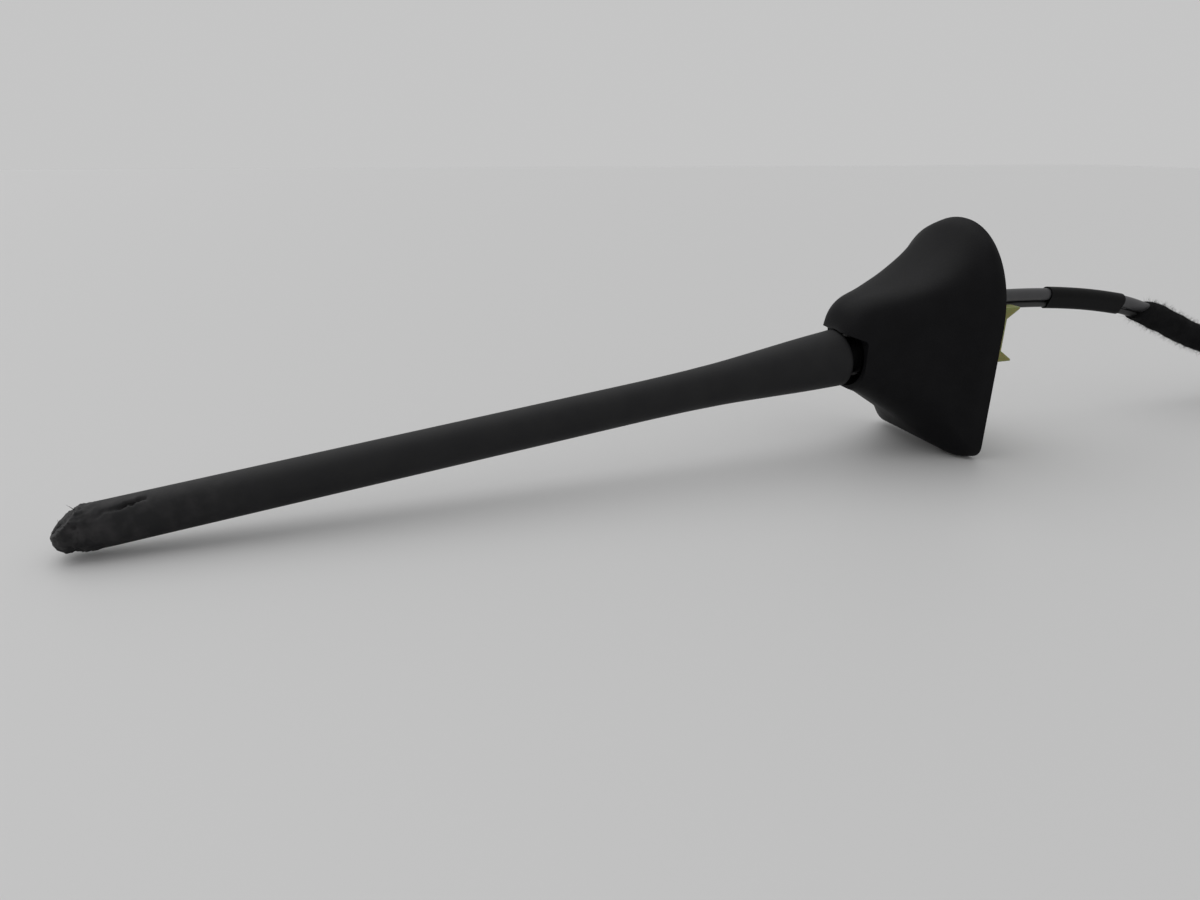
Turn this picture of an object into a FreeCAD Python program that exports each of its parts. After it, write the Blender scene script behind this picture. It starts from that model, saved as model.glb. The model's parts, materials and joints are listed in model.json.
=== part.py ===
import FreeCAD, Part
import math
import os

# Car roof antenna: a rubber mast screwed into a moulded base, with its fixing boss, clip and lead.
# Millimetres. Origin on the roof at the middle of the foot, +X to the front, +Y to the left, +Z up.

V = FreeCAD.Vector

# Foot and cover
foot_length = 65.4
foot_width = 44.0
rim_lift = 0.8            # rim of the cover above the roof
cover_wall = 2.4
neck_front = 16.0         # neck of the cover at the mouth, from the mast's lower end to its front
neck_rear = 8.7
neck_width = 19.0
# height above the rim, then the share of the way from the foot to the neck that front, sides and rear
# have come in, nose length, squareness of the nose (2 is an ellipse), rear corner radius
bell_levels = [
    (0.0, 0.000, 0.000, 0.000, 28.0, 2.1, 4.0),
    (4.0, 0.142, 0.090, 0.005, 28.4, 2.5, 4.8),
    (8.0, 0.390, 0.275, 0.100, 26.6, 3.3, 8.2),
    (12.0, 0.572, 0.424, 0.262, 21.6, 4.2, 11.0),
    (17.0, 0.724, 0.548, 0.472, 17.2, 4.6, 12.0),
    (23.0, 0.836, 0.700, 0.676, 14.4, 4.3, 10.6),
    (29.5, 0.920, 0.872, 0.880, 13.0, 3.6, 9.2),
    (34.6, 1.000, 1.000, 1.000, 10.6, 3.0, 7.6),
    (37.6, 1.170, 1.136, 1.135, 9.0, 2.6, 5.8),
    (39.4, 1.368, 1.360, 1.323, 5.8, 2.4, 3.0),
]
mouth_floor = 1.1         # plastic left between the mouth and the hollow
shoulder_height = 34.3    # flat edge of the mouth beside and behind the mast, above the rim
visor_back = 1.6          # the visor starts to rise here, in X
visor_run = 2.4           # and reaches its top this much further forward
visor_corner = 1.4        # rounding where the flat edge turns up into the visor

# Mast
mast_x = -4.8             # middle of the jacket's lower end
mast_z = 37.8
mast_rake = 6.5           # degrees towards the rear
mast_length = 200.0
mast_r = 5.23
jacket_flare = [(0.0, 8.0), (12.0, 7.47), (24.0, 6.62), (36.0, 5.80), (48.0, 5.38)]
flare_length = 60.0
jacket_edge = 0.6
tip_rounding = 3.6
tear_along = 6.8          # the torn corner at the tip, along the mast
tear_across = 4.8         # and across it
wear_along = 7.6          # the worn rear edge of the tip
wear_across = 3.2
groove_start = 183.5      # torn groove below the tip
groove_length = 9.0
groove_width = 1.3
groove_depth = 1.5
groove_turn = 40.0        # degrees from the front towards the right
rod_r = 2.0
rod_top_cover = 14.0      # rubber left above the rod
winding_wire = 0.6
winding_inset = 6.0       # bare rod at both ends of the winding
hub_r = 5.4
hub_gap = 3.2             # hub that shows below the jacket
hub_depth = 16.0          # hub inside the jacket
rod_seat = 12.0           # rod held inside the hub
stud_r = 2.45
stud_length = 9.0
washer_thickness = 0.8
washer_r = 5.0
thread_clearance = 0.05

# Mouth and socket in the cover
mouth_clearance = 0.5     # around the jacket's lower end
mouth_depth = 5.0         # groove around the socket, below the washer's seat
socket_flange_r = 6.0
socket_flange = 1.8
socket_r = 4.2
socket_length = 15.0
socket_floor = 3.0        # metal left below the threaded hole
sleeve_wall = 2.2         # plastic around the socket inside the hollow
socket_bare = 3.0         # socket that stands out of its plastic sleeve

# Floor plate, gasket and screws
gasket_height = 2.0
gasket_width = 4.5
gasket_gap = 0.5
screw_relief = 0.4        # gasket cut back around the screw heads
plate_thickness = 2.4
plate_clearance = 0.15
front_post_x = 17.2
front_post_y = 7.4
rear_post_x = -22.0
rear_post_y = 11.0
post_r = 3.2
cover_screw_r = 1.45
cover_screw_bite = 8.0
cover_screw_head_r = 2.6
cover_screw_head = 1.5

# Fixing boss and snap clip
boss_x = -0.5
boss_width = 11.0
boss_depth = 14.0         # below the roof
boss_corner = 1.0
thread_r = 2.5
thread_depth = 10.0
clip_clearance = 0.1
clip_wall = 2.5
clip_depth = 14.2         # below the roof
clip_notch = 8.4          # gap in the front wall for the leads
prong_length = 4.2
prong_root = 3.3
prong_tip = 0.5
prong_width = 3.6
barb_top = 1.6            # catch below the roof
barb_height = 4.4
barb_reach = 1.5
barb_width = 6.0
tongue_slit = 0.8
tongue_length = 10.5

# Circuit board
board_length = 30.5
board_width = 21.0
board_x = -1.75
board_thickness = 1.6
standoff_height = 5.0
standoff_r = 2.2
board_hole_margin = 2.6
board_screw_r = 1.2
board_screw_head_r = 2.0
board_screw_head = 1.3
board_screw_bite = 4.0
can_size = (7.6, 11.4, 4.2)
can_wall = 0.4
can_x = -11.6
chip_size = (5.0, 4.0, 1.2)
chip_place = (4.0, -5.4)
coil_r = 1.8
coil_bore_r = 1.0
coil_length = 4.2
coil_places = [(2.2, 5.4), (6.9, 4.9)]
capacitor_size = (2.0, 1.3, 1.2)
capacitor_places = [(-5.4, -6.4), (-1.8, -6.4), (9.4, -4.2), (-1.8, 6.4), (-5.4, 6.4)]
contact_thickness = 0.5
contact_width = 4.0
contact_back = 4.4        # upright leg of the strip behind the socket's end
contact_front = 2.4

# Leads
coax_r = 1.9
supply_r = 1.0
lead_gap = 0.02
sleeve_thickness = 0.4
felt_r = 4.2
sleeve_start = 45.0       # distances along the lead from its upper end
sleeve_end = 77.0
felt_start = 88.0
felt_end = 208.0
tail_r = 0.5
tail_stand = 0.8          # conductor that stands above the board
grommet_wall = 0.5
grommet_lip = 1.4
grommet_lip_height = 1.2
# middle of the grey lead, X and Z, from the board down to the plug
lead_route = [
    (9.3, 8.4), (9.4, -13.0), (8.9, -35.0), (7.0, -55.0), (3.2, -77.0),
    (-10.0, -110.0), (-19.5, -145.0), (-22.8, -180.0), (-23.2, -208.0),
]
arc_share = 0.45          # of the shorter run taken by each bend

# Plug on the end of the leads
plug_length = 24.0
plug_width = 9.0
plug_wall = 1.2
plug_back = 6.0           # solid back of the housing
shell_r = 2.6
shell_wall = 0.4
shell_length = 13.0
pin_r = 0.5
pin_length = 11.0
blade_size = (0.8, 2.2, 11.0)
plug_face_gap = 1.0       # contacts stop this far inside the mouth
latch_thickness = 1.2
latch_length = 14.0
latch_hook = 1.0

# Values that follow from the ones above
rim_z = rim_lift
plate_bottom = gasket_height
plate_top = plate_bottom + plate_thickness
board_bottom = plate_top + standoff_height
board_top = board_bottom + board_thickness
jacket_end_r = jacket_flare[0][1]
mouth_r = jacket_end_r + mouth_clearance
seat_t = -hub_gap - washer_thickness
rake = math.radians(mast_rake)
mouth_bottom = mast_z + (seat_t - mouth_depth) * math.cos(rake) - mouth_r * math.sin(rake)
hollow_height = mouth_bottom - mouth_floor - rim_z
lead_spacing = coax_r + supply_r + lead_gap
bundle_shift = (lead_spacing + supply_r - coax_r) / 2
posts = [
    (front_post_x, front_post_y),
    (front_post_x, -front_post_y),
    (rear_post_x, rear_post_y),
    (rear_post_x, -rear_post_y),
]
clip_half_x = boss_width / 2 + clip_clearance + clip_wall
mast_frame = FreeCAD.Placement(V(mast_x, 0, mast_z), FreeCAD.Rotation(V(0, 1, 0), -mast_rake))
far = 4 * foot_length     # larger than anything that is cut


def cylinder(radius, length, base=V(0, 0, 0), direction=V(0, 0, 1)):
    return Part.makeCylinder(radius, length, base, direction)


def ring(outer, inner, length, base=V(0, 0, 0)):
    return cylinder(outer, length, base).cut(cylinder(inner, length, base))


def block(size_x, size_y, size_z, x, y, bottom):
    return Part.makeBox(size_x, size_y, size_z, V(x - size_x / 2, y - size_y / 2, bottom))


def polygon_xz(points, width):
    corners = [V(x, -width / 2, z) for x, z in points]
    return Part.Face(Part.makePolygon(corners + corners[:1])).extrude(V(0, width, 0))


def on_mast(shape):
    placed = shape.copy()
    placed.Placement = mast_frame
    return placed


def group(solids):
    return Part.makeCompound(solids)


def between(start, end, share):
    return start + (end - start) * share


def bell_section(level, inset):
    height, front, side, rear, nose, fullness, corner = level
    z = rim_z + height
    middle = between(foot_length / 2, mast_x + neck_front, front) - nose
    nose = nose - inset
    half = between(foot_width, neck_width, side) / 2 - inset
    back = between(-foot_length / 2, mast_x - neck_rear, rear) + inset
    corner = max(corner - inset, cover_wall / 3)
    power = 2 / fullness
    angles = [math.radians(a) for a in range(-75, 90, 15)]
    curve = [V(middle, -half, z)]
    for a in angles:
        across = math.copysign(abs(math.sin(a)) ** power, a)
        curve.append(V(middle + nose * math.cos(a) ** power, half * across, z))
    curve.append(V(middle, half, z))
    front_edge = Part.BSplineCurve()
    front_edge.interpolate(Points=curve, InitialTangent=V(1, 0, 0), FinalTangent=V(-1, 0, 0))
    bend = corner * (1 - math.sqrt(0.5))
    run = back + corner
    flat = half - corner
    left_bend = V(back + bend, half - bend, z)
    right_bend = V(back + bend, bend - half, z)
    edges = [
        front_edge.toShape(),
        Part.makeLine(V(middle, half, z), V(run, half, z)),
        Part.Arc(V(run, half, z), left_bend, V(back, flat, z)).toShape(),
        Part.makeLine(V(back, flat, z), V(back, -flat, z)),
        Part.Arc(V(back, -flat, z), right_bend, V(run, -half, z)).toShape(),
        Part.makeLine(V(run, -half, z), V(middle, -half, z)),
    ]
    return Part.Wire(edges)


def bell(inset):
    return Part.makeLoft([bell_section(level, inset) for level in bell_levels], True, False)


def slab(bottom, top):
    return block(far, far, top - bottom, 0, 0, bottom)


def mouth_cut():
    # everything above the flat edge of the mouth, up to the slanting back of the visor
    edge = rim_z + shoulder_height
    top = rim_z + bell_levels[-1][0] + cover_wall
    slope = (top - edge) / visor_run
    tilt = math.atan2(top - edge, visor_run)
    reach = visor_corner * math.tan(tilt / 2)
    start = V(visor_back - reach, 0, edge)
    centre = start + V(0, 0, visor_corner)
    half = tilt / 2
    middle = centre + V(math.sin(half), 0, -math.cos(half)) * visor_corner
    end = centre + V(math.sin(tilt), 0, -math.cos(tilt)) * visor_corner
    ridge = V(end.x + (top - end.z) / slope, 0, top)
    back = V(-far / 2, 0, edge)
    edges = [
        Part.makeLine(back, start),
        Part.Arc(start, middle, end).toShape(),
        Part.makeLine(end, ridge),
        Part.makeLine(ridge, V(-far / 2, 0, top)),
        Part.makeLine(V(-far / 2, 0, top), back),
    ]
    face = Part.Face(Part.Wire(edges))
    face.translate(V(0, -far / 2, 0))
    return face.extrude(V(0, far, 0))


def make_base_cover():
    outer = bell(0)
    hollow = bell(cover_wall).common(slab(rim_z, rim_z + hollow_height))
    shell = outer.cut(hollow)
    sleeve_length = socket_length - socket_flange - socket_bare
    sleeve_bottom = seat_t - socket_flange - sleeve_length
    sleeve = on_mast(cylinder(socket_r + sleeve_wall, sleeve_length, V(0, 0, sleeve_bottom)))
    columns = [cylinder(post_r, rim_z + hollow_height - plate_top, V(x, y, plate_top)) for x, y in posts]
    inside = [sleeve.common(outer)] + [column.common(outer) for column in columns]
    shell = shell.fuse(inside)
    mouth = cylinder(mouth_r, far / 2, V(0, 0, seat_t - mouth_depth))
    plinth = cylinder(socket_flange_r, mouth_depth - socket_flange, V(0, 0, seat_t - mouth_depth))
    shell = shell.cut(on_mast(mouth.cut(plinth)))
    shell = shell.cut(mouth_cut())
    shell = shell.cut(on_mast(cylinder(socket_r, far / 2, V(0, 0, seat_t - socket_length))))
    pilots = [cylinder(cover_screw_r, cover_screw_bite, V(x, y, plate_top)) for x, y in posts]
    return shell.cut(pilots).removeSplitter()


def lead_opening(grow, bottom, height):
    # rounded slot around both leads
    x_front = lead_route[0][0]
    x_back = x_front - lead_spacing
    radius = coax_r + grow
    middle = block(lead_spacing, 2 * radius, height, (x_front + x_back) / 2, 0, bottom)
    ends = [cylinder(radius, height, V(x, 0, bottom)) for x in (x_front, x_back)]
    return middle.fuse(ends).removeSplitter()


def board_corners():
    x_reach = board_length / 2 - board_hole_margin
    y_reach = board_width / 2 - board_hole_margin
    return [(board_x + sx * x_reach, sy * y_reach) for sx in (1, -1) for sy in (1, -1)]


def make_base_plate():
    plate = bell(cover_wall + plate_clearance).common(slab(plate_bottom, plate_top))
    boss = block(boss_width, boss_width, boss_depth + plate_bottom, boss_x, 0, -boss_depth)
    uprights = [e for e in boss.Edges if abs(e.tangentAt(e.FirstParameter).z) > 0.9]
    boss = boss.makeFillet(boss_corner, uprights)
    standoffs = [cylinder(standoff_r, standoff_height, V(x, y, plate_top)) for x, y in board_corners()]
    plate = plate.fuse([boss] + standoffs)
    holes = [cylinder(cover_screw_r, plate_thickness, V(x, y, plate_bottom)) for x, y in posts]
    holes += [cylinder(board_screw_r, board_screw_bite, V(x, y, board_bottom - board_screw_bite))
              for x, y in board_corners()]
    holes.append(cylinder(thread_r, thread_depth, V(boss_x, 0, -boss_depth)))
    holes.append(lead_opening(grommet_wall, plate_bottom, plate_thickness))
    return plate.cut(holes).removeSplitter()


def make_roof_gasket():
    inset = cover_wall + gasket_gap
    outer = Part.Face(bell_section(bell_levels[0], inset))
    inner = Part.Face(bell_section(bell_levels[0], inset + gasket_width))
    band = outer.cut(inner)
    band.translate(V(0, 0, -rim_z))
    gasket = band.extrude(V(0, 0, gasket_height))
    relief = cover_screw_head_r + screw_relief
    heads = [cylinder(relief, gasket_height, V(x, y, 0)) for x, y in posts]
    return gasket.cut(heads)


def make_cover_screws():
    screws = []
    for x, y in posts:
        head = cylinder(cover_screw_head_r, cover_screw_head, V(x, y, plate_bottom - cover_screw_head))
        shank = cylinder(cover_screw_r, plate_thickness + cover_screw_bite, V(x, y, plate_bottom))
        screws.append(head.fuse(shank).removeSplitter())
    return group(screws)


def make_snap_clip():
    half_y = boss_width / 2 + clip_clearance + clip_wall
    inner = boss_width + 2 * clip_clearance
    height = plate_bottom + clip_depth
    collar = block(2 * clip_half_x, 2 * half_y, height, boss_x, 0, -clip_depth)
    collar = collar.cut(block(inner, inner, height, boss_x, 0, -clip_depth))
    front_wall = boss_x + clip_half_x - clip_wall / 2
    collar = collar.cut(block(clip_wall, clip_notch, height, front_wall, 0, -clip_depth))
    prong = [(0, -clip_depth), (-prong_root, -clip_depth),
             (-prong_tip, -clip_depth - prong_length), (0, -clip_depth - prong_length)]
    prongs = []
    for end in (1, -1):
        wedge = polygon_xz([(boss_x + end * (clip_half_x + dx), z) for dx, z in prong], prong_width)
        for side in (1, -1):
            placed = wedge.copy()
            placed.translate(V(0, side * (half_y - prong_width / 2), 0))
            prongs.append(placed)
    barbs = []
    slits = []
    barb_points = [(0, -barb_top), (barb_reach, -barb_top), (0, -barb_top - barb_height)]
    for side in (1, -1):
        corners = [V(boss_x - barb_width / 2, side * (half_y + dy), z) for dy, z in barb_points]
        barb = Part.Face(Part.makePolygon(corners + corners[:1])).extrude(V(barb_width, 0, 0))
        barbs.append(barb)
        wall_y = side * (half_y - clip_wall / 2)
        for end in (1, -1):
            slit_x = boss_x + end * (barb_width + tongue_slit) / 2
            slit_bottom = -barb_top - tongue_length
            slits.append(block(tongue_slit, clip_wall, tongue_length, slit_x, wall_y, slit_bottom))
        slits.append(block(barb_width + 2 * tongue_slit, clip_wall, tongue_slit, boss_x, wall_y, -barb_top))
    return collar.fuse(prongs + barbs).cut(slits).removeSplitter()


def make_circuit_board():
    board = block(board_length, board_width, board_thickness, board_x, 0, board_bottom)
    holes = [cylinder(board_screw_r, board_thickness, V(x, y, board_bottom)) for x, y in board_corners()]
    for x in lead_columns():
        holes.append(cylinder(tail_r, board_thickness, V(x, 0, board_bottom)))
    return board.cut(holes)


def lead_columns():
    x_front = lead_route[0][0]
    return (x_front, x_front - lead_spacing)


def make_board_screws():
    screws = []
    for x, y in board_corners():
        head = cylinder(board_screw_head_r, board_screw_head, V(x, y, board_top))
        shank_length = board_screw_bite + board_thickness
        shank = cylinder(board_screw_r, shank_length, V(x, y, board_top - shank_length))
        screws.append(head.fuse(shank).removeSplitter())
    return group(screws)


def make_shield_can():
    size_x, size_y, size_z = can_size
    can = block(size_x, size_y, size_z, can_x, 0, board_top)
    inner_x = size_x - 2 * can_wall
    inner_y = size_y - 2 * can_wall
    return can.cut(block(inner_x, inner_y, size_z - can_wall, can_x, 0, board_top))


def make_amplifier_chip():
    return block(*chip_size, *chip_place, board_top)


def make_filter_coils():
    coils = []
    for x, y in coil_places:
        base = V(x - coil_length / 2, y, board_top + coil_r)
        core = cylinder(coil_bore_r, coil_length, base, V(1, 0, 0))
        coils.append(cylinder(coil_r, coil_length, base, V(1, 0, 0)).cut(core))
    return group(coils)


def make_board_capacitors():
    return group([block(*capacitor_size, x, y, board_top) for x, y in capacitor_places])


def make_feed_contact():
    # bent strip: pad on the board, upright leg, and a top that lies against the end of the socket
    end = mast_frame.multVec(V(0, 0, seat_t - socket_length))
    slope = math.tan(rake)

    def under_socket(x):
        return end.z + (x - end.x) * slope

    back = end.x - contact_back
    front = end.x + contact_front
    t = contact_thickness
    profile = [
        (back, board_top), (front, board_top), (front, board_top + t), (back + t, board_top + t),
        (back + t, under_socket(back + t) - t), (front, under_socket(front) - t),
        (front, under_socket(front)), (back, under_socket(back)),
    ]
    return polygon_xz(profile, contact_width)


def make_mast_socket():
    flange = cylinder(socket_flange_r, socket_flange, V(0, 0, seat_t - socket_flange))
    barrel = cylinder(socket_r, socket_length, V(0, 0, seat_t - socket_length))
    depth = socket_length - socket_floor
    bore = cylinder(stud_r + thread_clearance, depth, V(0, 0, seat_t - depth))
    return on_mast(flange.fuse(barrel).cut(bore).removeSplitter())


def make_mast_washer():
    return on_mast(ring(washer_r, stud_r + thread_clearance, washer_thickness, V(0, 0, seat_t)))


def make_mast_ferrule():
    hub = cylinder(hub_r, hub_gap + hub_depth, V(0, 0, -hub_gap))
    stud = cylinder(stud_r, stud_length, V(0, 0, -hub_gap - stud_length))
    seat = cylinder(rod_r, rod_seat, V(0, 0, hub_depth - rod_seat))
    return on_mast(hub.fuse(stud).cut(seat).removeSplitter())


def rod_span():
    return hub_depth - rod_seat, mast_length - rod_top_cover


def winding_span():
    return hub_depth + winding_inset, rod_span()[1] - winding_inset


def make_mast_rod():
    bottom, top = rod_span()
    return on_mast(cylinder(rod_r, top - bottom, V(0, 0, bottom)))


def make_mast_winding():
    bottom, top = winding_span()
    return on_mast(ring(rod_r + winding_wire, rod_r, top - bottom, V(0, 0, bottom)))


def tip_cut(side, along, across):
    # slanting cut over one edge of the tip
    corner = V(side * mast_r, 0, mast_length - along)
    slant = V(-side * across, 0, along)
    low = corner - slant
    high = corner + slant * 2
    return polygon_xz([(low.x, low.z), (high.x, high.z), (low.x, high.z)], 4 * mast_r)


def make_mast_jacket():
    flare = [V(r, 0, t) for t, r in jacket_flare]
    flare[0] = V(jacket_end_r, 0, jacket_edge)
    flare.append(V(mast_r, 0, flare_length))
    curve = Part.BSplineCurve()
    curve.interpolate(Points=flare, InitialTangent=flare[1] - flare[0], FinalTangent=V(0, 0, 1))
    bend = 1 - math.sqrt(0.5)
    edge_middle = V(jacket_end_r - jacket_edge * bend, 0, jacket_edge * bend)
    tip_middle = V(mast_r - tip_rounding * bend, 0, mast_length - tip_rounding * bend)
    tip_start = V(mast_r, 0, mast_length - tip_rounding)
    tip_end = V(mast_r - tip_rounding, 0, mast_length)
    edges = [
        Part.makeLine(V(0, 0, 0), V(jacket_end_r - jacket_edge, 0, 0)),
        Part.Arc(V(jacket_end_r - jacket_edge, 0, 0), edge_middle, flare[0]).toShape(),
        curve.toShape(),
        Part.makeLine(flare[-1], tip_start),
        Part.Arc(tip_start, tip_middle, tip_end).toShape(),
        Part.makeLine(tip_end, V(0, 0, mast_length)),
        Part.makeLine(V(0, 0, mast_length), V(0, 0, 0)),
    ]
    jacket = Part.Face(Part.Wire(edges)).revolve(V(0, 0, 0), V(0, 0, 1), 360)
    wound_from, wound_to = winding_span()
    rod_top = rod_span()[1]
    bores = [
        cylinder(hub_r, hub_depth),
        cylinder(rod_r, rod_top - hub_depth, V(0, 0, hub_depth)),
        cylinder(rod_r + winding_wire, wound_to - wound_from, V(0, 0, wound_from)),
    ]
    tear = tip_cut(1, tear_along, tear_across)
    wear = tip_cut(-1, wear_along, wear_across)
    groove = block(2 * groove_depth, groove_width, groove_length, mast_r, 0, groove_start)
    groove.rotate(V(0, 0, 0), V(0, 0, 1), -groove_turn)
    return on_mast(jacket.cut(bores + [tear, wear, groove]))


def lead_pieces():
    # the route of the grey lead as straight runs and tangent arcs:
    # ("line", start, end) or ("arc", start, middle, end, centre, radius)
    points = [V(x, 0, z) for x, z in lead_route]
    pieces = []
    start = points[0]
    for before, corner, after in zip(points, points[1:], points[2:]):
        arriving = corner - before
        leaving = after - corner
        turn = arriving.getAngle(leaving)
        trim = arc_share * min(arriving.Length, leaving.Length)
        radius = trim / math.tan(turn / 2)
        print("bend radius", round(radius, 1), "mm at", round(corner.x, 1), round(corner.z, 1))
        first = corner - arriving.normalize() * trim
        last = corner + leaving.normalize() * trim
        inward = (leaving - arriving).normalize()
        centre = corner + inward * math.hypot(radius, trim)
        pieces.append(("line", start, first))
        pieces.append(("arc", first, centre - inward * radius, last, centre, radius))
        start = last
    pieces.append(("line", start, points[-1]))
    return pieces


def piece_length(piece):
    if piece[0] == "line":
        return (piece[2] - piece[1]).Length
    return piece[5] * (piece[1] - piece[4]).getAngle(piece[3] - piece[4])


def point_on(piece, share):
    # place and direction at a share of one piece's length
    if piece[0] == "line":
        return piece[1] + (piece[2] - piece[1]) * share, (piece[2] - piece[1]).normalize()
    _, first, _, last, centre, _ = piece
    spoke = first - centre
    around = spoke.cross(last - centre).normalize()
    angle = math.degrees(spoke.getAngle(last - centre)) * share
    turned = FreeCAD.Rotation(around, angle).multVec(spoke)
    return centre + turned, around.cross(turned).normalize()


def stretch(pieces, start, end, shift):
    # edges of the route between two distances along it, moved sideways towards the rear
    edges = []
    at = 0.0

    def moved(piece, share):
        place, along = point_on(piece, share)
        return place + V(0, 1, 0).cross(along) * shift

    for piece in pieces:
        length = piece_length(piece)
        low = max(0.0, (start - at) / length)
        high = min(1.0, (end - at) / length)
        at += length
        if high - low < 1e-6:
            continue
        if piece[0] == "line":
            edges.append(Part.makeLine(moved(piece, low), moved(piece, high)))
        else:
            middle = moved(piece, (low + high) / 2)
            edges.append(Part.Arc(moved(piece, low), middle, moved(piece, high)).toShape())
    return Part.Wire(edges)


def swept(path, outline):
    # an outline drawn in its own plane, X towards the rear and Y along the row, carried along the path
    first = path.Edges[0]
    begin = first.valueAt(first.FirstParameter)
    along = first.tangentAt(first.FirstParameter)
    rear = V(0, 1, 0).cross(along)
    matrix = FreeCAD.Matrix(
        rear.x, 0, along.x, begin.x,
        rear.y, 1, along.y, begin.y,
        rear.z, 0, along.z, begin.z,
    )
    placed = outline.copy()
    placed.transformShape(matrix)
    return path.makePipeShell([placed], True, False)


def tube(path, radius, name):
    solid = swept(path, Part.Wire(Part.makeCircle(radius)))
    ratio = solid.Volume / (math.pi * radius ** 2 * path.Length)
    print(name, "volume over section times length", round(ratio, 4))
    return solid


def egg_outline(big, small, distance):
    # outline of a skin stretched around two circles side by side
    lean = math.acos((big - small) / distance)
    up = V(math.cos(lean), math.sin(lean), 0)
    down = V(math.cos(lean), -math.sin(lean), 0)
    centre = V(distance, 0, 0)
    edges = [
        Part.Arc(up * big, V(-big, 0, 0), down * big).toShape(),
        Part.makeLine(down * big, centre + down * small),
        Part.Arc(centre + down * small, centre + V(small, 0, 0), centre + up * small).toShape(),
        Part.makeLine(centre + up * small, up * big),
    ]
    return Part.Wire(edges)


def make_leads():
    pieces = lead_pieces()
    whole = sum(piece_length(piece) for piece in pieces)
    print("lead length", round(whole, 1))
    coax = tube(stretch(pieces, 0, whole, 0), coax_r, "coax_cable")
    supply = tube(stretch(pieces, 0, whole, lead_spacing), supply_r, "supply_lead")
    skin = egg_outline(coax_r + sleeve_thickness, supply_r + sleeve_thickness, lead_spacing)
    sleeve = swept(stretch(pieces, sleeve_start, sleeve_end, 0), skin)
    felt = tube(stretch(pieces, felt_start, felt_end, bundle_shift), felt_r, "felt_wrap")
    return {
        "coax_cable": coax,
        "supply_lead": supply,
        "lead_sleeve": sleeve.cut([coax, supply]),
        "felt_wrap": felt.cut([coax, supply]),
    }


def make_cable_grommet():
    body = lead_opening(grommet_wall, plate_bottom, plate_thickness)
    lip = lead_opening(grommet_wall + grommet_lip, plate_top, grommet_lip_height)
    return body.fuse(lip).removeSplitter()


def make_tail(x):
    length = board_top + tail_stand - lead_route[0][1]
    return cylinder(tail_r, length, V(x, 0, lead_route[0][1]))


def make_plug():
    end_x, end_z = lead_route[-1]
    before_x, before_z = lead_route[-2]
    along = V(end_x - before_x, 0, end_z - before_z).normalize()
    rear = V(0, 1, 0).cross(along)
    frame = FreeCAD.Placement(FreeCAD.Matrix(
        rear.x, 0, along.x, end_x, rear.y, 1, along.y, 0, rear.z, 0, along.z, end_z))
    shell_cavity_r = plug_width / 2 - plug_wall
    depth = plug_length - plug_back
    blade_x = shell_r + plug_wall + blade_size[0] + coax_r
    long_side = shell_cavity_r + blade_x + blade_size[0] + 2 * plug_wall
    middle = long_side / 2 - shell_cavity_r - plug_wall
    housing = block(long_side, plug_width, plug_length, middle, 0, 0)
    uprights = [e for e in housing.Edges if abs(e.tangentAt(e.FirstParameter).z) > 0.9]
    housing = housing.makeFillet(plug_wall, uprights)
    housing = housing.cut([
        cylinder(shell_cavity_r, depth, V(0, 0, plug_back)),
        block(3 * blade_size[0], blade_size[1] + plug_wall, depth, blade_x, 0, plug_back),
    ])
    latch_y = plug_width / 2 + latch_thickness / 2
    latch = block(long_side / 2, latch_thickness, latch_length, middle, latch_y, plug_back / 2)
    hook_reach = latch_thickness + latch_hook
    hook_y = (plug_width + hook_reach) / 2
    hook = block(long_side / 2, hook_reach, latch_thickness, middle, hook_y, plug_back / 2 + latch_length)
    housing = housing.fuse([latch, hook]).removeSplitter()
    shell = ring(shell_r, shell_r - shell_wall, shell_length, V(0, 0, plug_back))
    pin = cylinder(pin_r, pin_length, V(0, 0, plug_back))
    blade = block(*blade_size, blade_x, 0, plug_back)
    made = {"plug_housing": housing, "plug_shell": shell, "plug_pin": pin, "supply_blade": blade}
    for shape in made.values():
        shape.Placement = frame
    return made


def main():
    os.makedirs("parts", exist_ok=True)
    coax_x, supply_x = lead_columns()
    nodes = {
        "base_cover": make_base_cover(),
        "base_plate": make_base_plate(),
        "roof_gasket": make_roof_gasket(),
        "cover_screws": make_cover_screws(),
        "snap_clip": make_snap_clip(),
        "circuit_board": make_circuit_board(),
        "board_screws": make_board_screws(),
        "shield_can": make_shield_can(),
        "amplifier_chip": make_amplifier_chip(),
        "filter_coils": make_filter_coils(),
        "board_capacitors": make_board_capacitors(),
        "feed_contact": make_feed_contact(),
        "mast_socket": make_mast_socket(),
        "mast_washer": make_mast_washer(),
        "mast_ferrule": make_mast_ferrule(),
        "mast_rod": make_mast_rod(),
        "mast_winding": make_mast_winding(),
        "mast_jacket": make_mast_jacket(),
        "coax_tail": make_tail(coax_x),
        "supply_tail": make_tail(supply_x),
    }
    leads = make_leads()
    nodes.update(leads)
    nodes["cable_grommet"] = make_cable_grommet().cut([leads["coax_cable"], leads["supply_lead"]])
    nodes.update(make_plug())
    for name, shape in nodes.items():
        shape.exportStep("parts/" + name + ".step")
        state = "valid" if shape.isValid() else "INVALID"
        print(name, len(shape.Solids), "solids", round(shape.Volume, 1), "mm3", state)


main()
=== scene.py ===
import json
import math
import random
import bpy
from mathutils import Matrix, Vector, noise

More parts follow.
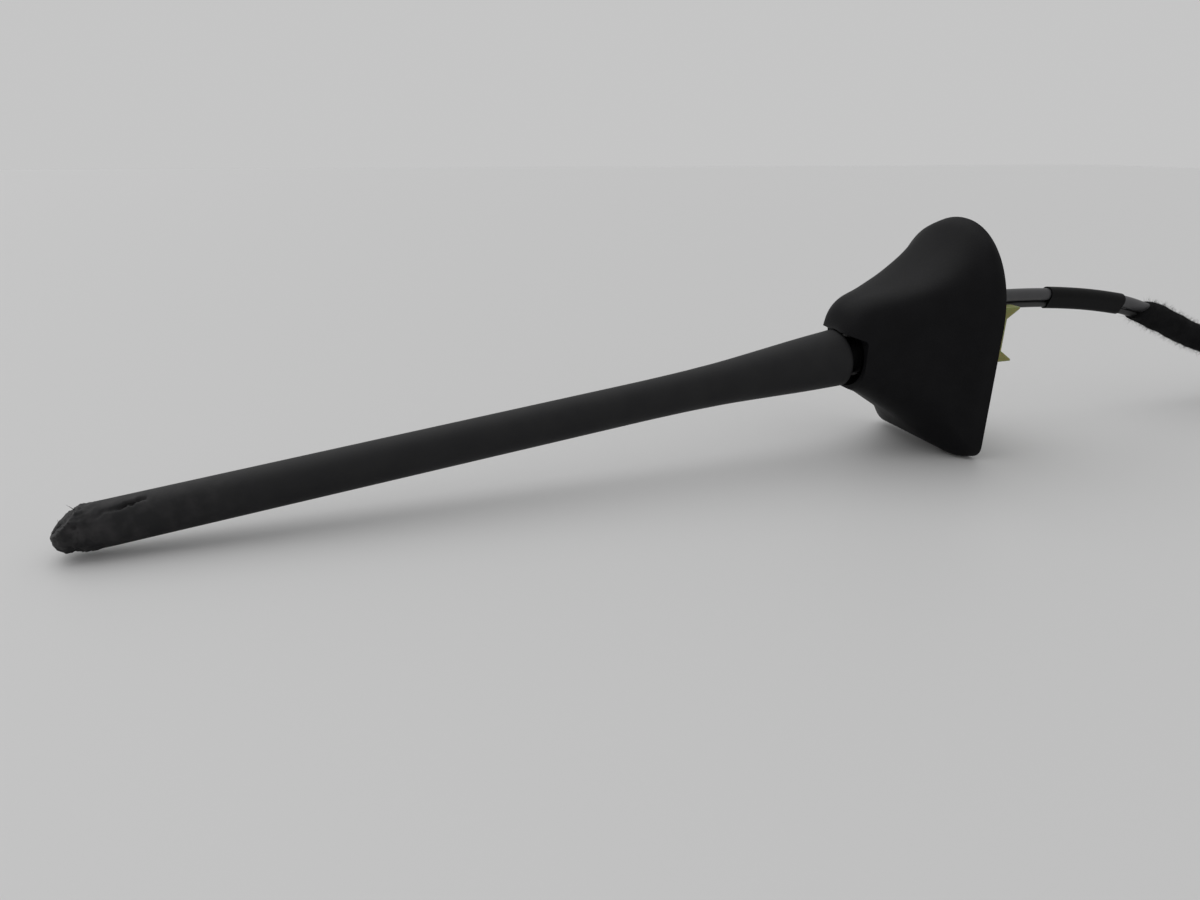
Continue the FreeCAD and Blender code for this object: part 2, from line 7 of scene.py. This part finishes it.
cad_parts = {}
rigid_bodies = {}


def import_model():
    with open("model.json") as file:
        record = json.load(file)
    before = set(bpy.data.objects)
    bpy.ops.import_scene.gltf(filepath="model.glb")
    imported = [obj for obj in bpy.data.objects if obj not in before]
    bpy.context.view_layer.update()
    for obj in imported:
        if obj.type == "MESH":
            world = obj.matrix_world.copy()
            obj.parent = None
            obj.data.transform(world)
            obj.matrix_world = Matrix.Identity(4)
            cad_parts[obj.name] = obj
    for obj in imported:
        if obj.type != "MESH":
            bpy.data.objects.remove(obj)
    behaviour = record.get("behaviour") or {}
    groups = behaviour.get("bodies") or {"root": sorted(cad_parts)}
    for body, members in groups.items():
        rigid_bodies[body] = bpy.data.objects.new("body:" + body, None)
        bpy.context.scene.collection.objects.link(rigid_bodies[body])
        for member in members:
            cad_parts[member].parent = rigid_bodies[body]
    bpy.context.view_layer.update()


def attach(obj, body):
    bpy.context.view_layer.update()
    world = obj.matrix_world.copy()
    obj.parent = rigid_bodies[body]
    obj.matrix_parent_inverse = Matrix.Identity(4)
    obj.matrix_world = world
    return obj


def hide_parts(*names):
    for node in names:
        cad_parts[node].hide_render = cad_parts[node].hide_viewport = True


# Car roof antenna lying on a pale table. Metres, in the part's own frame:
# +X is the front of the antenna, +Y its left, +Z its top. Sizes in the dictionaries are millimetres.

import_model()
scene = bpy.context.scene
mm = 0.001


def linear(hexColor):
    values = [int(hexColor[i:i + 2], 16) / 255 for i in (1, 3, 5)]
    return [v / 12.92 if v <= 0.04045 else ((v + 0.055) / 1.055) ** 2.4 for v in values] + [1.0]


def addNode(material, kind, settings=None, **links):
    # links and values are given by the input's name, with _ for a space
    tree = material.node_tree
    made = tree.nodes.new(kind)
    for key, value in (settings or {}).items():
        setattr(made, key, value)
    for key, value in links.items():
        socket = made.inputs[key.replace("_", " ")]
        if isinstance(value, bpy.types.NodeSocket):
            tree.links.new(value, socket)
        else:
            socket.default_value = value
    return made


def makeMaterial(name, color, roughness, metallic=0.0, **shader):
    material = bpy.data.materials.new(name)
    material.use_nodes = True
    surface = material.node_tree.nodes["Principled BSDF"]
    surface.inputs["Base Color"].default_value = linear(color)
    surface.inputs["Roughness"].default_value = roughness
    surface.inputs["Metallic"].default_value = metallic
    for key, value in shader.items():
        surface.inputs[key.replace("_", " ")].default_value = value
    return material


# Grain and the larger patches of tint, which are this many times as wide as the grain
grainLook = {"detail": 3.0, "patchWidth": 12, "patchDetail": 5.0, "darkUpTo": 0.36, "lightFrom": 0.68}


def addGrain(material, size, height, colors=None):
    # fine surface grain of the given size and height, and a patchy tint between two colors
    look = grainLook
    tree = material.node_tree
    surface = tree.nodes["Principled BSDF"]
    place = addNode(material, "ShaderNodeTexCoord").outputs["Object"]
    grain = addNode(material, "ShaderNodeTexNoise", Vector=place, Scale=1 / size, Detail=look["detail"])
    bump = addNode(material, "ShaderNodeBump", Height=grain.outputs["Fac"], Distance=height, Strength=1.0)
    tree.links.new(bump.outputs["Normal"], surface.inputs["Normal"])
    if colors:
        patches = addNode(material, "ShaderNodeTexNoise", Vector=place,
                          Scale=1 / (look["patchWidth"] * size), Detail=look["patchDetail"])
        ramp = addNode(material, "ShaderNodeValToRGB", Fac=patches.outputs["Fac"])
        dark, light = ramp.color_ramp.elements
        dark.position = look["darkUpTo"]
        light.position = look["lightFrom"]
        dark.color = linear(colors[0])
        light.color = linear(colors[1])
        tree.links.new(ramp.outputs["Color"], surface.inputs["Base Color"])
    return material


# Dust on the mast: heights where it begins and is full, its color and strength, and its specks
dust = {
    "from": 190.0, "full": 235.0, "color": "#3d3b3c", "amount": 0.7,
    "speck": 3.0, "speckDetail": 8.0, "speckFrom": 0.42, "speckFull": 0.75,
}


def addTipDust(material):
    tree = material.node_tree
    surface = tree.nodes["Principled BSDF"]
    under = surface.inputs["Base Color"].links[0].from_socket
    place = addNode(material, "ShaderNodeTexCoord").outputs["Object"]
    height = addNode(material, "ShaderNodeSeparateXYZ", Vector=place).outputs["Z"]
    rise = addNode(material, "ShaderNodeMapRange", Value=height,
                   From_Min=dust["from"] * mm, From_Max=dust["full"] * mm)
    specks = addNode(material, "ShaderNodeTexNoise", Vector=place,
                     Scale=1 / (dust["speck"] * mm), Detail=dust["speckDetail"])
    spread = addNode(material, "ShaderNodeMapRange", Value=specks.outputs["Fac"],
                     From_Min=dust["speckFrom"], From_Max=dust["speckFull"])
    both = addNode(material, "ShaderNodeMath", {"operation": "MULTIPLY"})
    tree.links.new(rise.outputs["Result"], both.inputs[0])
    tree.links.new(spread.outputs["Result"], both.inputs[1])
    share = addNode(material, "ShaderNodeMath", {"operation": "MULTIPLY"})
    tree.links.new(both.outputs[0], share.inputs[0])
    share.inputs[1].default_value = dust["amount"]
    mix = addNode(material, "ShaderNodeMix", {"data_type": "RGBA"})
    tree.links.new(share.outputs[0], mix.inputs["Factor"])
    tree.links.new(under, mix.inputs[6])    # 6 and 7 are the two colors, 2 is the mixed one
    mix.inputs[7].default_value = linear(dust["color"])
    tree.links.new(mix.outputs[2], surface.inputs["Base Color"])
    return material


finishes = {
    # from an etched mould: dull black, its grain drawn coarse enough to break up the light
    "coverPlastic": addGrain(
        makeMaterial("moulded black plastic, fine grain", "#0c0c0e", 0.56, Specular_IOR_Level=0.12),
        0.42 * mm, 0.05 * mm, ("#0b0b0d", "#0f0f11")),
    # moulded rubber: flat black, greyer with dust towards the torn tip
    "mastRubber": addTipDust(addGrain(
        makeMaterial("matte black rubber", "#161618", 0.6, Specular_IOR_Level=0.26),
        0.6 * mm, 0.03 * mm, ("#151517", "#1b1b1c"))),
    # open foam: no shine at all
    "gasketRubber": addGrain(makeMaterial("foam rubber", "#1d1d1d", 0.9), 0.8 * mm, 0.08 * mm),
    # smooth rubber: a weak broad sheen
    "grommetRubber": makeMaterial("moulded rubber", "#1b1b1c", 0.7),
    # black plating over turned metal: dark, with a soft highlight
    "hubMetal": makeMaterial("black plated metal", "#161617", 0.42, 0.6),
    # thin clear-tinted moulding: lets some light through, so its edges glow
    "clipPlastic": makeMaterial("translucent yellow-green plastic", "#818c49", 0.4,
                                Transmission_Weight=0.3, Subsurface_Weight=0.2),
    # extruded vinyl: even grey with a satin line of light
    "leadGrey": addGrain(makeMaterial("grey cable skin", "#58585a", 0.45),
                         1.2 * mm, 0.01 * mm, ("#39393b", "#454547")),
    # extruded vinyl: black, the same satin
    "leadBlack": makeMaterial("black wire skin", "#1c1c1d", 0.45),
    # shrunk tube: deep black, slightly wavy
    "shrinkSleeve": addGrain(
        makeMaterial("smooth shrink sleeve", "#080809", 0.5, Specular_IOR_Level=0.1),
        2.2 * mm, 0.05 * mm),
    # pressed fibres: takes all light, uneven black
    "felt": addGrain(makeMaterial("black felt", "#131314", 0.95, Specular_IOR_Level=0.1),
                     0.5 * mm, 0.25 * mm, ("#0e0e0f", "#19191a")),
    # plated screws: pale grey, bright but not mirror-like
    "zinc": makeMaterial("zinc plated steel", "#b9b8b2", 0.34, 1.0),
    # tinned sheet and wire: the brightest metal here
    "tin": makeMaterial("bright tin", "#c9c8c4", 0.28, 1.0),
    # as cast: dull grey with a sandy skin
    "dieCast": addGrain(makeMaterial("raw die casting", "#97979a", 0.5, 0.9), 0.7 * mm, 0.03 * mm),
    # turned on a lathe: warm yellow and bright
    "brass": makeMaterial("turned brass", "#c9a55a", 0.28, 1.0),
    # lacquered wire: reddish, with the lacquer's gloss
    "copper": makeMaterial("enamelled copper wire", "#b06a3a", 0.3, 0.9),
    # solder mask on glass laminate: glossy dark green
    "laminate": makeMaterial("green circuit board", "#1f5c3c", 0.35),
    # moulded chip body: matte near-black
    "epoxy": makeMaterial("black epoxy", "#1a1a1b", 0.6),
    # fired capacitor body: matte tan
    "ceramic": makeMaterial("tan ceramic", "#b49a72", 0.5),
    # resin-bound rod: pale straw with a waxy shine
    "glassFibre": makeMaterial("pale glass fibre", "#ddd3ae", 0.35),
    # moulded nylon: dark grey with a light grain
    "plugPlastic": addGrain(makeMaterial("moulded plug plastic", "#303033", 0.5), 0.5 * mm, 0.02 * mm),
}
finishOf = {
    "base_cover": "coverPlastic",
    "base_plate": "dieCast",
    "roof_gasket": "gasketRubber",
    "cover_screws": "zinc",
    "snap_clip": "clipPlastic",
    "circuit_board": "laminate",
    "board_screws": "zinc",
    "shield_can": "tin",
    "amplifier_chip": "epoxy",
    "filter_coils": "copper",
    "board_capacitors": "ceramic",
    "feed_contact": "brass",
    "mast_socket": "hubMetal",
    "mast_washer": "hubMetal",
    "mast_ferrule": "hubMetal",
    "mast_rod": "glassFibre",
    "mast_winding": "copper",
    "coax_tail": "tin",
    "supply_tail": "tin",
    "lead_sleeve": "shrinkSleeve",
    "cable_grommet": "grommetRubber",
    "plug_housing": "plugPlastic",
    "plug_shell": "tin",
    "plug_pin": "brass",
    "supply_blade": "tin",
}
for nodeName, finishName in finishOf.items():
    piece = bpy.data.objects[nodeName]
    piece.data.materials.clear()
    piece.data.materials.append(finishes[finishName])
print("finishes on the solids")


def addPiece(name, vertices, faces, finish, body, replaced=()):
    mesh = bpy.data.meshes.new(name)
    mesh.from_pydata(vertices, [], faces)
    mesh.validate()
    mesh.shade_smooth()
    mesh.materials.append(finishes[finish])
    made = bpy.data.objects.new(name, mesh)
    scene.collection.objects.link(made)
    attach(made, body)
    if replaced:
        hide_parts(*replaced)
    return made


def ringFaces(rings, sides, first=0):
    faces = []
    for i in range(rings - 1):
        for j in range(sides):
            a = first + i * sides + j
            b = first + i * sides + (j + 1) % sides
            faces.append((a, b, b + sides, a + sides))
    return faces


# Rubber jacket: flared below, ragged and torn at the tip. Heights count from its lower end.
jacket = {
    "end": Vector((-4.8, 0, 37.8)) * mm,
    "rake": math.radians(6.5),
    "length": 200.0,
    "radius": 5.23,
    "hubRadius": 5.4,
    "flare": [
        (0.0, 7.5), (0.5, 7.95), (1.5, 8.0), (12.0, 7.47),
        (24.0, 6.62), (36.0, 5.80), (48.0, 5.38), (60.0, 5.23),
    ],
    "edgeUpTo": 4.0,              # the flare is smoothed above this height
    "smoothing": (-3, -1.5, 0, 1.5, 3),
    "tipRounding": 3.6,
    "tear": (6.8, 4.8),           # front corner of the tip, along and across the mast
    "wear": (7.6, 3.2),           # rear edge
    "leastRadius": 0.3,
    "tipMiddle": -0.8,
    "sides": 112,
    "edgeRings": [0.0, 0.25, 0.5, 1.0, 1.5],
    "ringStep": 2.5,
    "fineFrom": 172.5,
    "fineStep": 0.3,
    "lastRing": 199.9,
}
# Raggedness near the tip: height of the lumps, where it begins below the tip and how soon it is full
ragged = {
    "height": 0.45, "below": 11.0, "rise": 6.0, "sunk": 0.2,
    "around": 2.2, "along": 0.55, "layers": [(1.3, 1.0), (3.1, 0.7), (6.3, 0.5)],
}
# Torn groove: deep at its lower end, fading towards the tip; turn and lean in degrees
groove = {
    "from": 179.6, "to": 190.4, "turn": -34.0, "lean": 20.0, "width": 0.62, "depth": 1.5,
    "fadeFrom": 0.4, "fadeRate": 3.5, "faded": 0.3, "bluntness": 0.4,
    "wander": 0.3, "wanderStep": 0.45, "widthStep": 1.3,
}
# Pits in the tip: height, turn in degrees, size and depth
pits = [(194.6, -62.0, 0.7, 0.8), (195.4, -128.0, 0.8, 0.9)]
mastPlace = Matrix.Translation(jacket["end"]) @ Matrix.Rotation(-jacket["rake"], 4, "Y")


def flareRadius(t):
    points = jacket["flare"]
    for (t0, r0), (t1, r1) in zip(points, points[1:]):
        if t < t1:
            share = (t - t0) / (t1 - t0)
            return r0 + (r1 - r0) * share
    return jacket["radius"]


def smoothFlare(t):
    if t <= jacket["edgeUpTo"]:
        return flareRadius(t)
    near = [flareRadius(max(0.0, t + step)) for step in jacket["smoothing"]]
    return sum(near) / len(near)


def tornRadius(t, angle):
    # the flare and the rounded tip, cut by the tear in front and the wear behind
    s = jacket
    r = smoothFlare(t)
    into = t - (s["length"] - s["tipRounding"])
    if into > 0:
        r += math.sqrt(max(0.0, s["tipRounding"] ** 2 - into ** 2)) - s["tipRounding"]
    for side, (along, across) in ((1, s["tear"]), (-1, s["wear"])):
        toward = side * math.cos(angle)
        limit = s["radius"] - (t - s["length"] + along) * across / along
        if toward > 0.02:         # the cut never meets the sides that it runs along
            r = min(r, limit / toward)
    return r


def raggedHeight(t, angle):
    s = ragged
    worn = max(0.0, min(1.0, (t - jacket["length"] + s["below"]) / s["rise"]))
    place = Vector((math.cos(angle) * s["around"], math.sin(angle) * s["around"], t * s["along"]))
    rough = sum(weight * noise.noise(place * scale) for scale, weight in s["layers"])
    return worn * s["height"] * (rough - s["sunk"])


def turnBetween(angle, other):
    return (angle - other + math.pi) % (2 * math.pi) - math.pi


def grooveDepth(t, angle):
    s = groove
    share = (t - s["from"]) / (s["to"] - s["from"])
    if not 0 < share < 1:
        return 0.0
    wander = s["wander"] * noise.noise(Vector((t * s["wanderStep"], 3, 1)))
    middle = math.radians(s["turn"] + s["lean"] * (0.5 - share)) + wander
    off = turnBetween(angle, middle) * jacket["radius"]
    width = s["width"] * (0.7 + 0.6 * noise.noise(Vector((t * s["widthStep"], 0, 7))))
    fade = max(s["faded"], min(1.0, 1.0 - (share - s["fadeFrom"]) * s["fadeRate"]))
    depth = s["depth"] * fade * math.sin(math.pi * share) ** s["bluntness"]
    return depth * math.exp(-(off / width) ** 2)


def jacketRadius(t, angle):
    r = tornRadius(t, angle) + raggedHeight(t, angle) - grooveDepth(t, angle)
    for pitT, pitTurn, pitSize, pitDepth in pits:
        off = turnBetween(angle, math.radians(pitTurn)) * jacket["radius"]
        r -= pitDepth * math.exp(-((t - pitT) ** 2 + off ** 2) / pitSize ** 2)
    return max(r, jacket["leastRadius"])


def makeJacket():
    s = jacket
    turns = [2 * math.pi * j / s["sides"] for j in range(s["sides"])]
    heights = list(s["edgeRings"])
    heights += [s["ringStep"] * i for i in range(1, int(s["fineFrom"] / s["ringStep"]))]
    fineRings = int((s["lastRing"] - s["fineFrom"]) / s["fineStep"])
    heights += [s["fineFrom"] + s["fineStep"] * i for i in range(fineRings)]
    heights += [s["lastRing"], s["length"]]
    vertices = [Vector((s["hubRadius"] * math.cos(a), s["hubRadius"] * math.sin(a), 0.0)) for a in turns]
    for t in heights:
        for a in turns:
            r = jacketRadius(t, a)
            vertices.append(Vector((r * math.cos(a), r * math.sin(a), t)))
    faces = ringFaces(len(heights) + 1, s["sides"])
    last = len(vertices) - s["sides"]
    vertices.append(Vector((s["tipMiddle"], 0, s["length"])))
    top = len(vertices) - 1
    faces += [(last + j, last + (j + 1) % s["sides"], top) for j in range(s["sides"])]
    placed = [mastPlace @ (v * mm) for v in vertices]
    return addPiece("mast_jacket_torn", placed, faces, "mastRubber", "mast", ["mast_jacket"])


makeJacket()

# Torn threads that stand out of the tip; the first one is the longest
threads = {
    "count": 9, "length": (0.5, 1.5), "firstLonger": 1.5, "radius": 0.09, "taper": 1.05, "seed": 5,
    "height": (188, 198.5), "turn": (-75, 60), "rise": (-0.3, 1.2), "curl": (-0.8, 0.8), "sunk": 0.12,
    "rings": 5, "sides": 4,
}


def makeThreads():
    s = threads
    draw = random.Random(s["seed"])
    vertices = []
    faces = []
    for i in range(s["count"]):
        t = draw.uniform(*s["height"])
        a = math.radians(draw.uniform(*s["turn"]))
        reach = jacketRadius(t, a) - s["sunk"]
        out = Vector((math.cos(a), math.sin(a), draw.uniform(*s["rise"]))).normalized()
        side = out.cross(Vector((0, 0, 1))).normalized()
        other = out.cross(side)
        root = Vector((reach * math.cos(a), reach * math.sin(a), t))
        long = draw.uniform(*s["length"]) * (1.0 if i else s["firstLonger"])
        curl = side * draw.uniform(*s["curl"])
        first = len(vertices)
        for k in range(s["rings"]):
            share = k / (s["rings"] - 1)
            middle = root + out * long * share + curl * long * share ** 2
            thick = s["radius"] * (s["taper"] - share)
            for m in range(s["sides"]):
                turn = 2 * math.pi * m / s["sides"]
                vertices.append(middle + (side * math.cos(turn) + other * math.sin(turn)) * thick)
        faces += [tuple(reversed(f)) for f in ringFaces(s["rings"], s["sides"], first)]
        faces.append(tuple(range(first, first + s["sides"])))
        faces.append(tuple(reversed(range(len(vertices) - s["sides"], len(vertices)))))
    placed = [mastPlace @ (v * mm) for v in vertices]
    return addPiece("tip_threads", placed, faces, "mastRubber", "mast")


makeThreads()
print("mast jacket and torn threads")

# Leads: the grey one, and the thin black one beside it, on the same route
leads = {
    "route": [
        (9.3, 8.4), (9.4, -13.0), (8.9, -35.0), (7.0, -55.0), (3.2, -77.0),
        (-10.0, -110.0), (-19.5, -145.0), (-22.8, -180.0), (-23.2, -208.0),
    ],
    "greyRadius": 1.9,
    "blackRadius": 1.0,
    "spacing": 2.92,
    "length": 0.2206,             # metres
    "roundness": 6,
    "smoothness": 24,
}
greyRoute = [Vector((x, 0, z)) * mm for x, z in leads["route"]]


def besideRoute(points, shift):
    # the same route moved to the rear of the antenna, square to its own direction
    moved = []
    for i, p in enumerate(points):
        along = (points[min(i + 1, len(points) - 1)] - points[max(i - 1, 0)]).normalized()
        moved.append(p + Vector((0, 1, 0)).cross(along) * shift)
    return moved


def makeLead(name, points, radius, finish, node):
    curve = bpy.data.curves.new(name, "CURVE")
    curve.dimensions = "3D"
    curve.bevel_depth = radius * mm
    curve.bevel_resolution = leads["roundness"]
    curve.resolution_u = leads["smoothness"]
    curve.use_fill_caps = True
    spline = curve.splines.new("NURBS")
    spline.points.add(len(points) - 1)
    for point, p in zip(spline.points, points):
        point.co = (*p, 1.0)
    spline.order_u = 3
    spline.use_endpoint_u = True
    curve.materials.append(finishes[finish])
    made = bpy.data.objects.new(name, curve)
    scene.collection.objects.link(made)
    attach(made, "base")
    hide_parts(node)
    return made


greyLead = makeLead("grey_lead", greyRoute, leads["greyRadius"], "leadGrey", "coax_cable")
blackRoute = besideRoute(greyRoute, leads["spacing"] * mm)
blackLead = makeLead("black_lead", blackRoute, leads["blackRadius"], "leadBlack", "supply_lead")

# Felt wrap around both leads, with an oblique, thinner start; distances count along the lead
felt = {
    "from": 88.0, "to": 198.0, "step": 1.0, "sides": 40, "radius": 4.1,
    "slant": 3.4, "slantRun": 12.0, "taper": 7.0, "taperStart": 0.35, "thinShare": 0.84,
    "lumps": 0.28, "lumpsAround": 1.4, "lumpsAlong": 0.3,
    "smoothing": (-9, -6, -3, 0, 3, 6, 9),
}


def routeAt(points, distance):
    for a, b in zip(points, points[1:]):
        run = (b - a).length
        if distance <= run or b is points[-1]:
            return a + (b - a) * (distance / run), (b - a).normalized()
        distance -= run


def smoothRoute(distance):
    near = [routeAt(greyRoute, max(0.0, distance + k) * mm) for k in felt["smoothing"]]
    middle = sum((p for p, _ in near), Vector()) / len(near)
    along = sum((d for _, d in near), Vector()).normalized()
    return middle, along


def makeFelt():
    s = felt
    count = int((s["to"] - s["from"]) / s["step"])
    shift = (leads["spacing"] + leads["blackRadius"] - leads["greyRadius"]) / 2
    left = Vector((0, 1, 0))
    vertices = []
    for i in range(count + 1):
        into = s["step"] * i
        distance = s["from"] + into
        share = min(1.0, (s["taperStart"] + into) / s["taper"])
        thickness = s["thinShare"] + (1 - s["thinShare"]) * share ** 0.5
        for j in range(s["sides"]):
            a = 2 * math.pi * j / s["sides"]
            lean = s["slant"] * math.cos(a) * max(0.0, 1 - into / s["slantRun"])
            middle, along = smoothRoute(distance + lean)
            rear = left.cross(along)
            place = Vector((math.cos(a) * s["lumpsAround"], math.sin(a) * s["lumpsAround"],
                            distance * s["lumpsAlong"]))
            r = s["radius"] * thickness + s["lumps"] * noise.noise(place)
            around = -rear * math.cos(a) + left * math.sin(a)
            vertices.append(middle + (rear * shift + around * r) * mm)
    faces = [tuple(reversed(f)) for f in ringFaces(count + 1, s["sides"])]
    faces.append(tuple(range(s["sides"])))
    faces.append(tuple(reversed(range(count * s["sides"], (count + 1) * s["sides"]))))
    return addPiece("felt_tape", vertices, faces, "felt", "base", ["felt_wrap"])


feltTape = makeFelt()

# Fibres of the felt: one short bent strand scattered over the tape, this many to the square metre
fuzz = {
    "density": 1500000.0, "seed": 3, "scale": (0.35, 1.25), "tilt": 0.9,
    "long": 1.7, "thick": 0.035, "taper": 1.1, "bend": 0.45, "rings": 4, "sides": 3,
}


def makeStrand():
    s = fuzz
    vertices = []
    for k in range(s["rings"]):
        share = k / (s["rings"] - 1)
        thick = s["thick"] * (s["taper"] - share) * mm
        bend = s["bend"] * s["long"] * share ** 2 * mm
        for m in range(s["sides"]):
            turn = 2 * math.pi * m / s["sides"]
            vertices.append((thick * math.cos(turn) + bend, thick * math.sin(turn), s["long"] * share * mm))
    strand = bpy.data.meshes.new("fuzz_strand")
    strand.from_pydata(vertices, [], ringFaces(s["rings"], s["sides"]))
    return bpy.data.objects.new("fuzz_strand", strand)


def makeFuzzTree(strandPiece):
    tree = bpy.data.node_groups.new("felt fuzz", "GeometryNodeTree")
    sockets = tree.interface
    sockets.new_socket("Geometry", in_out="INPUT", socket_type="NodeSocketGeometry")
    density = sockets.new_socket("Density", in_out="INPUT", socket_type="NodeSocketFloat")
    density.default_value = fuzz["density"]
    sockets.new_socket("Geometry", in_out="OUTPUT", socket_type="NodeSocketGeometry")
    add = tree.nodes.new
    link = tree.links.new
    source, target = add("NodeGroupInput"), add("NodeGroupOutput")
    scatter = add("GeometryNodeDistributePointsOnFaces")
    scatter.inputs["Seed"].default_value = fuzz["seed"]
    info = add("GeometryNodeObjectInfo")
    info.inputs["Object"].default_value = strandPiece
    turn = add("FunctionNodeRandomValue")
    turn.data_type = "FLOAT_VECTOR"
    turn.inputs[0].default_value = (-fuzz["tilt"], -fuzz["tilt"], 0.0)
    turn.inputs[1].default_value = (fuzz["tilt"], fuzz["tilt"], 2 * math.pi)
    spread = add("FunctionNodeRandomValue")
    spread.data_type = "FLOAT"
    spread.inputs[2].default_value, spread.inputs[3].default_value = fuzz["scale"]
    tilt = add("FunctionNodeRotateRotation")
    tilt.rotation_space = "LOCAL"
    place = add("GeometryNodeInstanceOnPoints")
    realize = add("GeometryNodeRealizeInstances")
    paint = add("GeometryNodeSetMaterial")
    paint.inputs["Material"].default_value = finishes["felt"]
    link(source.outputs["Geometry"], scatter.inputs["Mesh"])
    link(source.outputs["Density"], scatter.inputs["Density"])
    link(scatter.outputs["Points"], place.inputs["Points"])
    link(info.outputs["Geometry"], place.inputs["Instance"])
    link(scatter.outputs["Rotation"], tilt.inputs["Rotation"])
    link(turn.outputs[0], tilt.inputs["Rotate By"])
    link(tilt.outputs["Rotation"], place.inputs["Rotation"])
    link(spread.outputs[1], place.inputs["Scale"])
    link(place.outputs["Instances"], realize.inputs["Geometry"])
    link(realize.outputs["Geometry"], paint.inputs["Geometry"])
    link(paint.outputs["Geometry"], target.inputs["Geometry"])
    return tree


def makeFuzz(carrier):
    strandPiece = makeStrand()
    holder = bpy.data.objects.new("fuzz_holder", carrier.data.copy())
    scene.collection.objects.link(holder)
    growth = holder.modifiers.new("fuzz", "NODES")
    growth.node_group = makeFuzzTree(strandPiece)
    depsgraph = bpy.context.evaluated_depsgraph_get()
    mesh = bpy.data.meshes.new_from_object(holder.evaluated_get(depsgraph))
    mesh.name = "felt_fuzz"
    bpy.data.objects.remove(holder)
    bpy.data.objects.remove(strandPiece)
    made = bpy.data.objects.new("felt_fuzz", mesh)
    scene.collection.objects.link(made)
    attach(made, "base")
    return made


feltFuzz = makeFuzz(feltTape)
onCord = [feltTape, feltFuzz]
onCord += [bpy.data.objects[n] for n in ("lead_sleeve", "plug_housing", "plug_shell", "plug_pin")]
print("leads, felt and fuzz")

# The antenna lies rolled about its mast, on the tip and on the right rear corner of its foot
lying = {
    "roll": math.radians(3.0),
    "corner": Vector((-32.69, -18.2, 0.8)) * mm,
    "cornerGap": 0.3 * mm,
}
mastAxis = mastPlace.to_3x3() @ Vector((0, 0, 1))
rollTurn = Matrix.Rotation(lying["roll"], 4, mastAxis)
rollPlace = Matrix.Translation(jacket["end"]) @ rollTurn @ Matrix.Translation(-jacket["end"])
table = {"half": 3.0, "color": "#cdcdcd", "roughness": 0.55}    # half its width in metres


def makeTable():
    upright = rollTurn.to_3x3() @ Vector((1, 0, 0))
    tip = mastPlace @ Vector((0, 0, jacket["length"] * mm)) - upright * jacket["radius"] * mm
    run = (tip - lying["corner"]).normalized()
    upright = (upright - run * run.dot(upright)).normalized()
    across = upright.cross(run)
    middle = lying["corner"] - upright * lying["cornerGap"]
    h = table["half"]
    mesh = bpy.data.meshes.new("table")
    corners = [middle + run * a * h + across * b * h for a, b in ((-1, -1), (1, -1), (1, 1), (-1, 1))]
    mesh.from_pydata(corners, [], [(0, 1, 2, 3)])
    if mesh.polygons[0].normal.dot(upright) < 0:
        mesh.flip_normals()
    made = bpy.data.objects.new("table", mesh)
    scene.collection.objects.link(made)
    # painted board: even, pale and dull, and clear from below so that it never hides the antenna
    material = makeMaterial("pale table", table["color"], table["roughness"])
    output = material.node_tree.nodes["Material Output"]
    surface = material.node_tree.nodes["Principled BSDF"]
    clear = addNode(material, "ShaderNodeBsdfTransparent")
    side = addNode(material, "ShaderNodeNewGeometry").outputs["Backfacing"]
    mix = addNode(material, "ShaderNodeMixShader", Fac=side)
    material.node_tree.links.new(surface.outputs[0], mix.inputs[1])
    material.node_tree.links.new(clear.outputs[0], mix.inputs[2])
    material.node_tree.links.new(mix.outputs[0], output.inputs["Surface"])
    mesh.materials.append(material)


makeTable()

# Soft daylight from above and behind, as the antenna lies
daylight = {
    "from": Vector((0.62, 0.3, 0.22)),
    "spread": math.radians(75),
    "power": 1.05,
    "sky": "#dadada",
    "skyStrength": 0.8,
}
lamp = bpy.data.lights.new("daylight", "SUN")
lamp.angle = daylight["spread"]
lamp.energy = daylight["power"]
lampPiece = bpy.data.objects.new("daylight", lamp)
lampPiece.rotation_euler = (-daylight["from"]).to_track_quat("-Z", "Y").to_euler()
scene.collection.objects.link(lampPiece)
world = bpy.data.worlds.new("pale room")
world.use_nodes = True
background = world.node_tree.nodes["Background"]
background.inputs["Color"].default_value = linear(daylight["sky"])
background.inputs["Strength"].default_value = daylight["skyStrength"]
scene.world = world

# Camera of the photograph: beside the antenna, turned so that the mast points to the left.
# Pan is towards the base from square to the mast, pitch is down to the table.
view = {
    "place": Vector((53.2, -208.2, 190.4)) * mm,
    "pan": math.radians(21.178),
    "pitch": math.radians(19.0),
    "lens": 27.0,
    "sensor": 36.0,
    "nearest": 0.01,
}
camera = bpy.data.cameras.new("camera")
camera.lens = view["lens"]
camera.sensor_width = view["sensor"]
camera.clip_start = view["nearest"]
cameraPiece = bpy.data.objects.new("camera", camera)
viewRight = Vector((0.0, -math.sin(view["pan"]), -math.cos(view["pan"])))
viewAhead = Vector((0.0, math.cos(view["pan"]), -math.sin(view["pan"])))
viewUp = Vector((math.cos(view["pitch"]), 0.0, 0.0)) + viewAhead * math.sin(view["pitch"])
turn = Matrix((viewRight, viewUp, viewRight.cross(viewUp))).transposed()
cameraPiece.matrix_world = rollPlace @ Matrix.Translation(view["place"]) @ turn.to_4x4()
scene.collection.objects.link(cameraPiece)
scene.camera = cameraPiece

scene.render.engine = "CYCLES"
scene.cycles.samples = 128
scene.cycles.use_denoising = True
scene.render.resolution_x = 1024
scene.render.resolution_y = 768
scene.view_settings.view_transform = "Standard"
print("table, light and camera")
